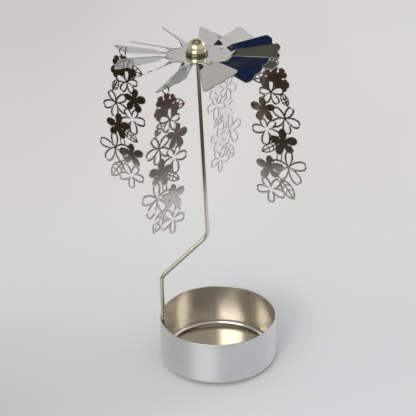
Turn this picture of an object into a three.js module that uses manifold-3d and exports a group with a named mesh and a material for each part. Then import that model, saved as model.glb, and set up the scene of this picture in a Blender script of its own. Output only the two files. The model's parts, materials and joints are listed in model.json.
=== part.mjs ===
// Tea-light candlestick with a turning fan and four hanging blossom pendants.
// Millimetres, +Z up. The origin is the centre of the cup's flat underside.
import * as THREE from 'three';
import { mergeVertices } from 'three/addons/utils/BufferGeometryUtils.js';
import Module from 'manifold-3d';

const wasm = await Module();
wasm.setup();

// Cup, drawn from one disc of sheet steel
const CUP_RADIUS = 21.4;
const CUP_HEIGHT = 17.5;
const CUP_WALL = 0.4;
const CUP_CORNER = 2.8;
const CUP_SEGMENTS = 36;

// Strap lanced inward from the cup wall, which grips the foot of the stem
const STRAP_DROP = 0.35;
const STRAP_HEIGHT = 2.5;
const STRAP_THICKNESS = 0.35;

// Stem, one bent wire with a needle point
const WIRE_RADIUS = 0.75;
const WIRE_TAIL = 0.5;
const WIRE_GRIP_GAP = 0.03;
const LOWER_BEND_HEIGHT = 34.1;
const UPPER_BEND_HEIGHT = 50.1;
const UPPER_BEND_OFFSET = 3.2;
const BEND_RADIUS = 4;
const NEEDLE_LENGTH = 2.6;
const NEEDLE_POINT_RADIUS = 0.1;
const PIVOT_GAP = 0.1;
const ROTOR_OFFSET = 5.5;

// Pivot cap, a drawn thimble that rides on the needle
const ROTOR_HEIGHT = 116.9;
const CAP_RADIUS = 3.3;
const CAP_WALL = 0.35;
const CAP_SHOULDER = 2.2;
const FLANGE_REACH = 1;
const FIT_GAP = 0.04;
const ROUND_SEGMENTS = 18;

// Collar pressed over the cap, which clamps the fan on the flange
const COLLAR_WALL = 0.4;
const COLLAR_HEIGHT = 0.9;
const COLLAR_EASE = 0.2;

// Fan, stamped from one mirror sheet and twisted by hand
const SHEET = 0.3;
const HUB_RADIUS = 8.9;
const BLADE_COUNT = 12;
const BLADE_VALLEY_RADIUS = 26.8;
const SCALLOP_HEIGHT = 0.9;
const SCALLOPS_PER_BLADE = 3;
const SLIT_WIDTH = 0.4;
const SLIT_MOUTH = 1.5;
const TWIST_LENGTH = 4.5;
const ROOT_OVERLAP = 0.5;
const FIRST_BLADE_ANGLE = -77.1;
// Each blade's own set by hand, in degrees: pitch, lift and sweep
const BLADE_SETS = [
  [26, -3, 1], [27, 0, 2], [26, 2.3, 1], [26, -0.7, 0], [25, 0, 0], [25, -3, 0],
  [36, -3, 1], [20, -5, 0], [28, 1.5, 0], [32, -2, 0], [26, 1, 8], [30, -7, -6],
];

// Hook holes, one in every third blade
const HOLE_RADIUS = 0.75;
const HOLE_SETBACK = 1.5;
const HOLE_OFFSET = 1.2;
const HOOKED_BLADES = [2, 5, 8, 11];
const PENDANT_TURNS = [-16, -23, -19, -30];

// Pendant, etched from thin sheet; its origin is the middle of the strip that its hook rests on
const PENDANT_SHEET = 0.35;
const PENDANT_DROP = 50;
const PETAL_LENGTH = 5;
const SHOULDER_SHARE = 0.45;
const CUT_ROOT = 0.55;
const RING_EYE_RADIUS = 0.65;
const BULGE_SHARE = 1.33;
const LEAF_END_SHARE = 0.16;
const LINE_WIDTH = 0.58;
const HOOK_RADIUS = 1.225;
const HOOK_WIDTH = 0.5;
const HOOK_SINK = 0.55;
const HOOK_LEG = 0.8;
const HOOK_NECK = 1.3;
const NECK_WIDTH = 1;

// Extra length that carries a cut clear through a sheet
const OVERRUN = 1;

// Vertices closer than this are one
const WELD_DISTANCE = 1e-5;

const rad = THREE.MathUtils.degToRad;

function solid(geometry) {
  const bare = geometry.clone();
  bare.deleteAttribute('normal');
  bare.deleteAttribute('uv');
  const welded = mergeVertices(bare, WELD_DISTANCE);
  return new wasm.Manifold(new wasm.Mesh({
    numProp: 3,
    vertProperties: new Float32Array(welded.attributes.position.array),
    triVerts: new Uint32Array(welded.index.array),
  }));
}

function geometryOf(manifold) {
  const { vertProperties, triVerts } = manifold.getMesh();
  const geometry = new THREE.BufferGeometry();
  geometry.setAttribute('position', new THREE.BufferAttribute(Float32Array.from(vertProperties), 3));
  geometry.setIndex(new THREE.BufferAttribute(Uint32Array.from(triVerts), 1));
  geometry.computeVertexNormals();
  return geometry;
}

function steel(color, roughness, metalness = 1) {
  return new THREE.MeshStandardMaterial({ color, roughness, metalness });
}

function named(name, geometry, material) {
  const mesh = new THREE.Mesh(geometry, material);
  mesh.name = name;
  return mesh;
}

function arcPoints(cx, cy, radius, from, to, steps) {
  return Array.from({ length: steps + 1 }, (_, i) => {
    const angle = rad(from + ((to - from) * i) / steps);
    return new THREE.Vector2(cx + radius * Math.cos(angle), cy + radius * Math.sin(angle));
  });
}

// Moves every vertex of a geometry through a function of its unit coordinates
function remap(geometry, place) {
  const position = geometry.attributes.position;
  for (let i = 0; i < position.count; i += 1) {
    const moved = place(position.getX(i), position.getY(i), position.getZ(i));
    position.setXYZ(i, moved.x, moved.y, moved.z);
  }
  return geometry;
}

// Distance from the cup's axis to the centre of the wire that stands inside its wall
const stemFoot = CUP_RADIUS - CUP_WALL - WIRE_RADIUS - WIRE_GRIP_GAP;
const strapBottom = CUP_HEIGHT - STRAP_DROP - STRAP_HEIGHT;
const strapBore = WIRE_RADIUS + WIRE_GRIP_GAP;

function cupShell() {
  const inner = CUP_RADIUS - CUP_WALL;
  const turn = CUP_RADIUS - CUP_CORNER;
  const lip = CUP_WALL / 2;
  const profile = [
    new THREE.Vector2(0, 0),
    ...arcPoints(turn, CUP_CORNER, CUP_CORNER, -90, 0, 4),
    ...arcPoints(CUP_RADIUS - lip, CUP_HEIGHT - lip, lip, 0, 180, 2),
    ...arcPoints(turn, CUP_CORNER, inner - turn, 0, -90, 3),
    new THREE.Vector2(0, CUP_WALL),
  ];
  const lathe = new THREE.LatheGeometry(profile, CUP_SEGMENTS);
  return lathe.rotateX(Math.PI / 2);
}

// The strap's outline in plan: a half loop round the wire, with legs that run back into the wall
function strapShape() {
  const outside = strapBore + STRAP_THICKNESS;
  const wall = CUP_RADIUS - CUP_WALL / 2;
  const shape = new THREE.Shape();
  shape.moveTo(-wall, -outside);
  shape.lineTo(-stemFoot, -outside);
  shape.absarc(-stemFoot, 0, outside, -Math.PI / 2, Math.PI / 2, false);
  shape.lineTo(-wall, outside);
  shape.lineTo(-wall, strapBore);
  shape.lineTo(-stemFoot, strapBore);
  shape.absarc(-stemFoot, 0, strapBore, Math.PI / 2, -Math.PI / 2, true);
  shape.lineTo(-wall, -strapBore);
  shape.closePath();
  return shape;
}

function candleCup() {
  const window = new THREE.BoxGeometry(CUP_WALL + OVERRUN, strapBore * 2, STRAP_HEIGHT);
  window.translate(-CUP_RADIUS, 0, strapBottom + STRAP_HEIGHT / 2);
  const strap = new THREE.ExtrudeGeometry(strapShape(), {
    depth: STRAP_HEIGHT, bevelEnabled: false, curveSegments: 10,
  });
  strap.translate(0, 0, strapBottom);
  return geometryOf(solid(cupShell()).subtract(solid(window)).add(solid(strap)));
}

// A rounded corner of the wire between two straight runs, as evenly spaced points
function bendPoints(before, corner, after) {
  const inward = before.clone().sub(corner).normalize();
  const outward = after.clone().sub(corner).normalize();
  const half = inward.angleTo(outward) / 2;
  const reach = BEND_RADIUS / Math.tan(half);
  const centre = corner.clone().addScaledVector(
    inward.clone().add(outward).normalize(), BEND_RADIUS / Math.sin(half));
  const start = corner.clone().addScaledVector(inward, reach).sub(centre);
  const end = corner.clone().addScaledVector(outward, reach).sub(centre);
  const sweep = start.angleTo(end) * Math.sign(start.cross(end));
  const steps = 5;
  return Array.from({ length: steps + 1 }, (_, i) => start.clone()
    .rotateAround(new THREE.Vector2(), (sweep * i) / steps).add(centre));
}

// Sections of the wire from foot to point: centre in the stem's plane, and radius
function wireSections() {
  const tipHeight = ROTOR_HEIGHT + CAP_SHOULDER + CAP_RADIUS - CAP_WALL - PIVOT_GAP;
  const foot = new THREE.Vector2(-stemFoot, strapBottom - WIRE_TAIL);
  const lower = new THREE.Vector2(-stemFoot, LOWER_BEND_HEIGHT);
  const upper = new THREE.Vector2(-UPPER_BEND_OFFSET, UPPER_BEND_HEIGHT);
  const tip = new THREE.Vector2(-ROTOR_OFFSET, tipHeight);
  const run = tip.clone().sub(upper).normalize();
  const neck = tip.clone().addScaledVector(run, -NEEDLE_LENGTH);
  const sections = [foot, ...bendPoints(foot, lower, upper), ...bendPoints(lower, upper, tip), neck]
    .map((at) => ({ at, radius: WIRE_RADIUS }));
  sections.push({ at: tip, radius: NEEDLE_POINT_RADIUS });
  return sections;
}

function stemWire() {
  const sections = wireSections();
  const last = sections.length - 1;
  const rod = new THREE.CylinderGeometry(1, 1, 1, 10, last);
  return remap(rod, (x, y, z) => {
    const index = Math.round((y + 0.5) * last);
    const { at, radius } = sections[index];
    const before = sections[Math.max(index - 1, 0)].at;
    const after = sections[Math.min(index + 1, last)].at;
    const along = after.clone().sub(before).normalize();
    return new THREE.Vector3(at.x + radius * x * along.y, radius * z * -1, at.y - radius * x * along.x);
  });
}

// The cap's profile from the top of the dome down to the flange and back up inside
function pivotCap() {
  const inner = CAP_RADIUS - CAP_WALL;
  const flangeTop = -SHEET / 2 - FIT_GAP;
  const flangeRim = CAP_RADIUS + FLANGE_REACH;
  const profile = [
    ...arcPoints(0, CAP_SHOULDER, inner, 90, 0, 4),
    new THREE.Vector2(inner, flangeTop - CAP_WALL),
    new THREE.Vector2(flangeRim, flangeTop - CAP_WALL),
    new THREE.Vector2(flangeRim, flangeTop),
    new THREE.Vector2(CAP_RADIUS, flangeTop),
    ...arcPoints(0, CAP_SHOULDER, CAP_RADIUS, 0, 90, 5),
  ];
  profile[0].x = 0;
  profile[profile.length - 1].x = 0;
  return new THREE.LatheGeometry(profile, ROUND_SEGMENTS).rotateX(Math.PI / 2);
}

function capCollar() {
  const inner = CAP_RADIUS + FIT_GAP;
  const outer = inner + COLLAR_WALL;
  const bottom = SHEET / 2 + FIT_GAP;
  const top = bottom + COLLAR_HEIGHT;
  const profile = [
    new THREE.Vector2(inner, bottom),
    new THREE.Vector2(outer, bottom),
    new THREE.Vector2(outer, top - COLLAR_EASE),
    new THREE.Vector2(outer - COLLAR_EASE, top),
    new THREE.Vector2(inner, top),
    new THREE.Vector2(inner, bottom),
  ];
  return new THREE.LatheGeometry(profile, ROUND_SEGMENTS).rotateX(Math.PI / 2);
}

function bladeAngle(blade) {
  return rad(FIRST_BLADE_ANGLE + (360 / BLADE_COUNT) * blade);
}

// A point of the twisted sheet in the rotor's frame. Reach runs out along the blade's middle line,
// across runs over its width towards the raised edge, and rise stands off the middle of the sheet.
function bladePoint(blade, reach, across, rise = 0) {
  const [pitch, lift, sweep] = BLADE_SETS[blade];
  const share = THREE.MathUtils.smoothstep(reach, HUB_RADIUS, HUB_RADIUS + TWIST_LENGTH);
  const middle = new THREE.Vector3(Math.min(reach, HUB_RADIUS), 0, 0);
  const beyond = Math.max(reach - HUB_RADIUS, 0);
  const outward = new THREE.Vector3(1, 0, 0).applyEuler(new THREE.Euler(0, -rad(lift), rad(sweep), 'ZYX'));
  middle.addScaledVector(outward, beyond);
  const tilt = new THREE.Euler(rad(pitch) * share, -rad(lift) * share, rad(sweep) * share, 'ZYX');
  return middle
    .add(new THREE.Vector3(0, across, rise).applyEuler(tilt))
    .applyAxisAngle(new THREE.Vector3(0, 0, 1), bladeAngle(blade));
}

// Half the angle that a blade fills at a radius, between slits that widen from root to mouth
function bladeHalfAngle(radius) {
  const share = THREE.MathUtils.clamp((radius - HUB_RADIUS) / (BLADE_VALLEY_RADIUS - HUB_RADIUS), 0, 1);
  const slit = THREE.MathUtils.lerp(SLIT_WIDTH, SLIT_MOUTH, share);
  return Math.PI / BLADE_COUNT - Math.asin(slit / 2 / radius);
}

// One blade lofted from a unit block: width share, length share and thickness share
function bladeSolid(blade) {
  const root = HUB_RADIUS - ROOT_OVERLAP;
  const block = new THREE.BoxGeometry(1, 1, 1, SCALLOPS_PER_BLADE * 3, 3, 1);
  remap(block, (u, v, w) => {
    const lobe = Math.abs(Math.cos(Math.PI * SCALLOPS_PER_BLADE * u));
    const rim = BLADE_VALLEY_RADIUS + SCALLOP_HEIGHT * lobe;
    const radius = THREE.MathUtils.lerp(root, rim, (v + 0.5) ** 1.5);
    const angle = -2 * bladeHalfAngle(radius) * u;
    return bladePoint(blade, radius * Math.cos(angle), radius * Math.sin(angle), SHEET * w);
  });
  return solid(block);
}

// The hook lies in the valley between two scallops and rests halfway along the strip that the hole
// leaves there
const holeReach = BLADE_VALLEY_RADIUS - HOLE_SETBACK;
const valleyAngle = bladeHalfAngle(BLADE_VALLEY_RADIUS) / SCALLOPS_PER_BLADE;
const seatShare = (HOLE_RADIUS + HOLE_SETBACK) / 2 / HOLE_SETBACK;
const seatReach = THREE.MathUtils.lerp(holeReach, BLADE_VALLEY_RADIUS * Math.cos(valleyAngle), seatShare);
const seatOffset = THREE.MathUtils.lerp(HOLE_OFFSET, BLADE_VALLEY_RADIUS * Math.sin(valleyAngle), seatShare);

function hookHole(blade) {
  const drill = new THREE.CylinderGeometry(HOLE_RADIUS, HOLE_RADIUS, OVERRUN, 10);
  return solid(remap(drill, (x, y, z) => bladePoint(blade, holeReach + x, -z - HOLE_OFFSET, y)));
}

function fanRotor() {
  const disc = new THREE.Shape().absarc(0, 0, HUB_RADIUS, 0, 2 * Math.PI);
  disc.holes.push(new THREE.Path().absarc(0, 0, CAP_RADIUS + FIT_GAP, 0, 2 * Math.PI, true));
  const hub = new THREE.ExtrudeGeometry(disc, { depth: SHEET, bevelEnabled: false, curveSegments: 12 });
  hub.translate(0, 0, -SHEET / 2);
  let fan = solid(hub);
  for (let blade = 0; blade < BLADE_COUNT; blade += 1) fan = fan.add(bladeSolid(blade));
  for (const blade of HOOKED_BLADES) fan = fan.subtract(hookHole(blade));
  return geometryOf(fan);
}

// Blossoms from the hook down: centre as shares of the pendant's drop, outward and up; how full the
// petals are and how far out the valleys between them lie, as shares of a petal's length; and each
// petal's bearing in degrees clockwise from up, with a share of the petal length.
// Kinds are plate for a filled blossom, pierced for one with five cut-outs, and ring for one whose
// cut-outs open into its middle.
const BLOSSOM_SHARES = [
  { kind: 'plate', at: [-0.004, -0.116], full: 0.48, valley: 0.5, petals: [[0, 0.8], [58, 0.98], [124, 1.2], [240, 1.14], [300, 0.86]] },
  { kind: 'pierced', at: [-0.027, -0.219], full: 0.38, valley: 0.34, petals: [[0, 0.84], [74, 0.96], [146, 0.92], [213, 0.92], [269, 0.9]] },
  { kind: 'plate', at: [-0.078, -0.343], full: 0.36, valley: 0.33, petals: [[345, 0.86], [73, 0.82], [142, 0.9], [212, 0.96], [280, 1.02]] },
  { kind: 'pierced', at: [0.077, -0.387], full: 0.36, valley: 0.33, petals: [[33, 0.98], [108, 1.16], [168, 1.12], [236, 1.08], [305, 1.06]] },
  { kind: 'ring', at: [-0.057, -0.487], full: 0.38, valley: 0.34, petals: [[330, 0.84], [40, 0.92], [111, 1.06], [185, 1.14], [266, 1.12]] },
  { kind: 'plate', at: [0.067, -0.558], full: 0.36, valley: 0.33, petals: [[353, 0.98], [74, 1.06], [133, 0.96], [205, 1.02], [280, 1]] },
  { kind: 'pierced', at: [0.108, -0.729], full: 0.34, valley: 0.26, petals: [[1, 1.14], [76, 1.36], [142, 1.38], [214, 1.2], [276, 1.22]] },
  { kind: 'plate', at: [-0.037, -0.753], full: 0.36, valley: 0.33, petals: [[0, 0.84], [84, 1.1], [137, 0.9], [211, 1.02], [286, 1.02]] },
  { kind: 'ring', at: [-0.023, -0.917], full: 0.36, valley: 0.33, petals: [[322, 0.98], [39, 1.04], [104, 1.14], [177, 1], [264, 1.1]] },
];

// Leaves: root, tip and half width as shares of the pendant's drop
const LEAF_SHARES = [
  { root: [-0.03, -0.116], tip: [-0.165, -0.15], half: 0.038 },
  { root: [0.1, -0.302], tip: [0.046, -0.214], half: 0.03 },
  { root: [0.03, -0.572], tip: [-0.098, -0.652], half: 0.034 },
  { root: [0.05, -0.825], tip: [0.158, -0.96], half: 0.044 },
];

function place(shares) {
  return new THREE.Vector2(shares[0], shares[1]).multiplyScalar(PENDANT_DROP);
}

// A shape extruded through the pendant's sheet and past both of its faces
function plate(shape, overrun, curveSegments) {
  const depth = PENDANT_SHEET + 2 * overrun;
  const geometry = new THREE.ExtrudeGeometry(shape, { depth, bevelEnabled: false, curveSegments });
  return solid(geometry.translate(0, 0, -depth / 2));
}

function cutter(shape) {
  return plate(shape, 2 * OVERRUN, 3);
}

// A point of a blossom from the distance to one side and along a petal's bearing
function petalPoint(centre, bearing, x, y) {
  return new THREE.Vector2(x, y).rotateAround(new THREE.Vector2(), -rad(bearing)).add(centre);
}

// The whole outline of a blossom: petals in turn, each from one valley over its tip to the next
function blossomShape({ centre, petals, full, valley }) {
  const outline = new THREE.Shape();
  petals.forEach(({ bearing, length }, index) => {
    const after = petals[(index + 1) % petals.length];
    const before = petals[(index + petals.length - 1) % petals.length];
    const side = full * length;
    const valleyAt = (other) => {
      const turn = ((other.bearing - bearing + 540) % 360) - 180;
      return petalPoint(centre, bearing + turn / 2, 0, (valley * (length + other.length)) / 2);
    };
    const point = (x, y) => petalPoint(centre, bearing, x, y * length);
    if (index === 0) outline.moveTo(...valleyAt(before));
    outline.bezierCurveTo(...point(-side, SHOULDER_SHARE), ...point(-side, 1), ...point(0, 1));
    outline.bezierCurveTo(...point(side, 1), ...point(side, SHOULDER_SHARE), ...valleyAt(after));
  });
  return outline;
}

// The cut-out of one petal, one line's width inside its outline
function cutShape({ centre, full }, { bearing, length }, root) {
  const side = full * length - LINE_WIDTH;
  const tip = length - LINE_WIDTH;
  const point = (x, y) => petalPoint(centre, bearing, x, y);
  const shape = new THREE.Shape().moveTo(...point(0, root));
  shape.bezierCurveTo(...point(-side, SHOULDER_SHARE * tip), ...point(-side, tip), ...point(0, tip));
  shape.bezierCurveTo(...point(side, tip), ...point(side, SHOULDER_SHARE * tip), ...point(0, root));
  return shape;
}

// A point of a leaf from the share of its length and the distance to one side of its vein
function leafPoint({ root, tip }, share, x) {
  const axis = tip.clone().sub(root).normalize();
  return root.clone().lerp(tip, share).addScaledVector(new THREE.Vector2(-axis.y, axis.x), x);
}

function leafShape(leaf) {
  const bulge = leaf.half * BULGE_SHARE;
  const point = (share, x) => leafPoint(leaf, share, x);
  const shape = new THREE.Shape().moveTo(...leaf.root);
  shape.bezierCurveTo(...point(0.25, bulge), ...point(0.75, bulge), ...leaf.tip);
  shape.bezierCurveTo(...point(0.75, -bulge), ...point(0.25, -bulge), ...leaf.root);
  return shape;
}

// The cut-out on one side of a leaf's vein
function leafCut(leaf, way) {
  const vein = (way * LINE_WIDTH) / 2;
  const bulge = way * (leaf.half - LINE_WIDTH) * BULGE_SHARE;
  const point = (share, x) => leafPoint(leaf, share, x);
  const [from, to] = [LEAF_END_SHARE, 1 - LEAF_END_SHARE];
  const shape = new THREE.Shape().moveTo(...point(from, vein));
  shape.bezierCurveTo(...point(0.33, bulge), ...point(0.67, bulge), ...point(to, vein));
  return shape;
}

// The hook: a leg that drops through the blade's hole, the bow over the strip, and the neck below
function hookShape() {
  const inner = HOOK_RADIUS - HOOK_WIDTH / 2;
  const outer = HOOK_RADIUS + HOOK_WIDTH / 2;
  const legEnd = -HOOK_SINK - HOOK_LEG;
  const shape = new THREE.Shape();
  shape.moveTo(-inner, legEnd);
  shape.lineTo(-inner, -HOOK_SINK);
  shape.absarc(0, -HOOK_SINK, inner, Math.PI, -Math.PI / 2, true);
  shape.lineTo(-NECK_WIDTH / 2, -HOOK_SINK - outer - HOOK_NECK);
  shape.lineTo(NECK_WIDTH / 2, -HOOK_SINK - outer - HOOK_NECK);
  shape.absarc(0, -HOOK_SINK, outer, -Math.PI / 3, Math.PI, false);
  shape.lineTo(-outer, legEnd);
  shape.absarc(-HOOK_RADIUS, legEnd, HOOK_WIDTH / 2, Math.PI, 2 * Math.PI, false);
  return shape;
}

// The cut-outs of a pierced blossom, or of a ring, where they meet in an open middle
function blossomCuts(blossom) {
  if (blossom.kind === 'plate') return [];
  const root = blossom.kind === 'ring' ? 0 : CUT_ROOT;
  const cuts = blossom.petals.map((petal) => cutShape(blossom, petal, root));
  const { x, y } = blossom.centre;
  if (blossom.kind === 'ring') cuts.push(new THREE.Shape().absarc(x, y, RING_EYE_RADIUS, 0, 2 * Math.PI));
  return cuts;
}

// The sheet from the hook down: leaves, then blossoms, each over the cut-outs of those before it.
// Every blank stands a little taller than the last, and one slab trims them all to the sheet.
function pendantSheet() {
  const leaves = LEAF_SHARES.map(({ root, tip, half }) => (
    { root: place(root), tip: place(tip), half: half * PENDANT_DROP }));
  const blossoms = BLOSSOM_SHARES.map(({ at, petals, ...rest }) => ({
    ...rest,
    centre: place(at),
    petals: petals.map(([bearing, share]) => ({ bearing, length: share * PETAL_LENGTH })),
  }));
  const blanks = [
    ...leaves.map((leaf) => ({ outline: leafShape(leaf), cuts: [leafCut(leaf, 1), leafCut(leaf, -1)] })),
    ...blossoms.map((blossom) => ({ outline: blossomShape(blossom), cuts: blossomCuts(blossom) })),
  ];
  const stack = blanks.reduce((sum, { outline, cuts }, index) => {
    const grown = sum.add(plate(outline, (OVERRUN * (index + 1)) / blanks.length, 4));
    return cuts.reduce((rest, cut) => rest.subtract(cutter(cut)), grown);
  }, plate(hookShape(), OVERRUN / 2 / blanks.length, 4));
  const slab = new THREE.BoxGeometry(2 * PENDANT_DROP, 3 * PENDANT_DROP, PENDANT_SHEET);
  return geometryOf(stack.intersect(solid(slab)));
}

// A pendant hangs upright below its blade, turned a little from the blade's own direction
function hungPendant(index, geometry) {
  const blade = HOOKED_BLADES[index];
  const hanger = new THREE.Group();
  hanger.position.copy(bladePoint(blade, seatReach, -seatOffset));
  hanger.rotation.z = bladeAngle(blade) + rad(PENDANT_TURNS[index]);
  const mesh = named(`pendant_${index + 1}`, geometry.clone(), steel(0x4a3f38, 0.18));
  mesh.rotation.x = Math.PI / 2;
  hanger.add(mesh);
  return hanger;
}

function rotor() {
  const group = new THREE.Group();
  group.position.set(-ROTOR_OFFSET, 0, ROTOR_HEIGHT);
  group.add(named('fan_rotor', fanRotor(), steel(0xa9a8a6, 0.12)));
  group.add(named('pivot_cap', pivotCap(), steel(0xb9b39a, 0.1)));
  group.add(named('cap_collar', capCollar(), steel(0x8d8775, 0.2)));
  const sheet = pendantSheet();
  HOOKED_BLADES.forEach((_, index) => group.add(hungPendant(index, sheet)));
  return group;
}

const candlestick = new THREE.Group();
candlestick.name = 'tea_light_candlestick';
candlestick.add(named('candle_cup', candleCup(), steel(0xa5a7aa, 0.3)));
candlestick.add(named('stem_wire', stemWire(), steel(0x9a9684, 0.15)));
candlestick.add(rotor());

export default candlestick;
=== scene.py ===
"""Looks of a rotary tea light candlestick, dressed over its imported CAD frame.

A tea light stands in the drawn cup, and its warm air turns the twelve-bladed fan on the needle point of the
stem. Four open-work blossom pendants hang in the fan. Every surface is worked out with numpy in millimetres,
as whole arrays, and put into its mesh in metres.
"""

import json
import math

import bmesh
import bpy
import numpy as np
from bpy.props import FloatProperty, FloatVectorProperty, IntProperty, PointerProperty
from mathutils import Matrix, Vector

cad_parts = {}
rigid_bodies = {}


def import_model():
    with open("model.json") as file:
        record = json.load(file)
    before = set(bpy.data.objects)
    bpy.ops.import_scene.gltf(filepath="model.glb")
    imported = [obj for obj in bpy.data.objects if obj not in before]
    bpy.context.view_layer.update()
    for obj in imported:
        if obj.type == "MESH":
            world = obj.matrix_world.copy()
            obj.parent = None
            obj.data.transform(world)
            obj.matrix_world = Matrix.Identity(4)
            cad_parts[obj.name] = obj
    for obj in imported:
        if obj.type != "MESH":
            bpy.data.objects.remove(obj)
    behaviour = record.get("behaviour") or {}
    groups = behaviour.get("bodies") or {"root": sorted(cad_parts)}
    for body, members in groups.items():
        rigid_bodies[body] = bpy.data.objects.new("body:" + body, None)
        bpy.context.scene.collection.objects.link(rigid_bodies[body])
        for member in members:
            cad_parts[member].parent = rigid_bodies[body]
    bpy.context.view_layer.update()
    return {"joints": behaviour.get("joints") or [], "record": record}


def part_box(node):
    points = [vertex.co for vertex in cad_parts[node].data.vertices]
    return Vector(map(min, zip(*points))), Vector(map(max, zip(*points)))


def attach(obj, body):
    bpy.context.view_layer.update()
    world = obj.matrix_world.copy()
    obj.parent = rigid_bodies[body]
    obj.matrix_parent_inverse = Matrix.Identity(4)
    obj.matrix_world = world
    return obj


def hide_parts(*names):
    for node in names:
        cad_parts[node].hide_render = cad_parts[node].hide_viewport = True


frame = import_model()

bl_info = {
    "name": "Rotary Tea Light Candlestick",
    "version": (1, 0, 0),
    "blender": (4, 5, 0),
    "location": "3D View > Sidebar > Candlestick",
    "description": "Cup, stem, fan, cap, pendants and stage of a rotary tea light candlestick",
    "category": "Add Mesh",
}

MM = 0.001
CUP_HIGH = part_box("candle_cup")[1]
SPIN = next(joint for joint in frame["joints"] if joint["name"] == "rotor_spin")
SWINGS = [joint for joint in frame["joints"] if joint["parent"] == "rotor"]

# Each blade's own set, in degrees: pitch of its raised edge, lift of its length, sweep along the circle
BLADE_SETS = np.array([
    [26, -3, 1], [27, 0, 2], [26, 2.3, 1], [26, -0.7, 0], [25, 0, 0], [25, -3, 0],
    [36, -3, 1], [20, -5, 0], [28, 1.5, 0], [32, -2, 0], [26, 1, 8], [30, -7, -6],
], float)
HOOKED_BLADES = (2, 5, 8, 11)
# Bearing of the first blade, in degrees from +X towards +Y
FIRST_BEARING = -77.1
# How far each pendant's sheet is bowed along its length, in millimetres
BOWS = (0.12, -0.1, 0.08, -0.14)

# Blossoms from the hook down: kind, centre as shares of the drop, how full the petals are, how far out the
# valleys between them lie, and each petal's bearing (degrees clockwise from up) with its length share
BLOSSOM_SHARES = (
    ("plate", (-0.004, -0.116), 0.48, 0.5, ((0, 0.8), (58, 0.98), (124, 1.2), (240, 1.14), (300, 0.86))),
    ("pierced", (-0.027, -0.219), 0.38, 0.34, ((0, 0.84), (74, 0.96), (146, 0.92), (213, 0.92), (269, 0.9))),
    ("plate", (-0.078, -0.343), 0.36, 0.33, ((345, 0.86), (73, 0.82), (142, 0.9), (212, 0.96), (280, 1.02))),
    ("pierced", (0.077, -0.387), 0.36, 0.33,
     ((33, 0.98), (108, 1.16), (168, 1.12), (236, 1.08), (305, 1.06))),
    ("ring", (-0.057, -0.487), 0.38, 0.34, ((330, 0.84), (40, 0.92), (111, 1.06), (185, 1.14), (266, 1.12))),
    ("plate", (0.067, -0.558), 0.36, 0.33, ((353, 0.98), (74, 1.06), (133, 0.96), (205, 1.02), (280, 1))),
    ("pierced", (0.108, -0.729), 0.34, 0.26, ((1, 1.14), (76, 1.36), (142, 1.38), (214, 1.2), (276, 1.22))),
    ("plate", (-0.037, -0.753), 0.36, 0.33, ((0, 0.84), (84, 1.1), (137, 0.9), (211, 1.02), (286, 1.02))),
    ("ring", (-0.023, -0.917), 0.36, 0.33, ((322, 0.98), (39, 1.04), (104, 1.14), (177, 1), (264, 1.1))),
)
# Twigs that join blossoms and leaves: both ends as shares of the drop
TWIG_SHARES = (
    ((0.021, -0.655), (0.021, -0.72)), ((-0.036, -0.672), (0.012, -0.712)), ((0.058, -0.63), (0.052, -0.70)),
    ((0.03, -0.87), (0.066, -0.85)), ((0.052, -0.835), (0.062, -0.905)), ((-0.075, -0.23), (-0.088, -0.29)),
    ((0.075, -0.225), (0.108, -0.33)),
)
# Leaves: root and tip as shares of the drop, and half the width as a share of it
LEAF_SHARES = (
    ((-0.03, -0.116), (-0.165, -0.15), 0.038),
    ((0.1, -0.302), (0.046, -0.214), 0.03),
    ((0.03, -0.572), (-0.098, -0.652), 0.034),
    ((0.05, -0.825), (0.158, -0.96), 0.044),
)

# Where a petal is widest, as a share of its length
PETAL_BELLY = 0.45

# Steps round the wire, round cap and collar, round floor and cloth, and along a cubic
WIRE_STEPS, CAP_STEPS, FLOOR_STEPS, CURVE_STEPS = 40, 96, 64, 14

# Reach of floor and cloth and the cloth's height, in millimetres
FLOOR_REACH, CLOTH_REACH, CLOTH_HEIGHT = 6000, 1500, 0.4
# The lamps' distance in metres, and the tints of their light
LAMP_DISTANCE = 1.1
WARM, WARMER = (1.0, 0.98, 0.95), (1.0, 0.97, 0.93)

# The camera fitted to the photograph: focal length and picture width in pixels, the sensor's width in
# millimetres, place in metres, the way it looks and its roll in degrees
FOCAL_PIXELS, PHOTO_WIDTH, SENSOR_WIDTH = 1097.9, 416, 36
CAMERA_PLACE = (-0.01869, -0.34898, 0.22508)
CAMERA_FORWARD = (0.04102, 0.90403, -0.42550)
CAMERA_ROLL = -1.161


# Sizes and colours

def length(name, description, value):
    """A size in metres, shown in the scene's unit."""
    return FloatProperty(name=name, description=description, default=value, min=0.01 * MM, precision=5,
                         unit="LENGTH", subtype="DISTANCE")


def colour(name, description, value):
    """A linear colour."""
    return FloatVectorProperty(name=name, description=description, default=value, min=0.0, max=1.0,
                               size=3, subtype="COLOR")


def seen(name, description, value):
    """The colour of a part of the studio that shows in the metal alone."""
    return colour(name, description + ", seen in the metal", value)


def level(name, description, value, most):
    """A plain number from 0 up."""
    return FloatProperty(name=name, description=description, default=value, min=0.0, max=most,
                         subtype="FACTOR")


class CupSizes(bpy.types.PropertyGroup):
    """Sizes of the drawn cup and of the strap lanced out of its wall."""

    radius: length("Radius", "Outside of the wall", CUP_HIGH.x)
    height: length("Height", "From the underside to the lip", CUP_HIGH.z)
    wall: length("Wall", "Thickness of the sheet", 0.0004)
    corner: length("Corner", "Radius between wall and bottom, outside", 0.0028)
    strap_drop: length("Strap drop", "From the lip down to the strap", 0.00035)
    strap_height: length("Strap height", "Height of the strap that grips the stem", 0.0025)
    strap_thickness: length("Strap thickness", "Thickness of the strap", 0.00035)
    segments: IntProperty(name="Segments", description="Steps round the cup", default=192, min=24)


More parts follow.
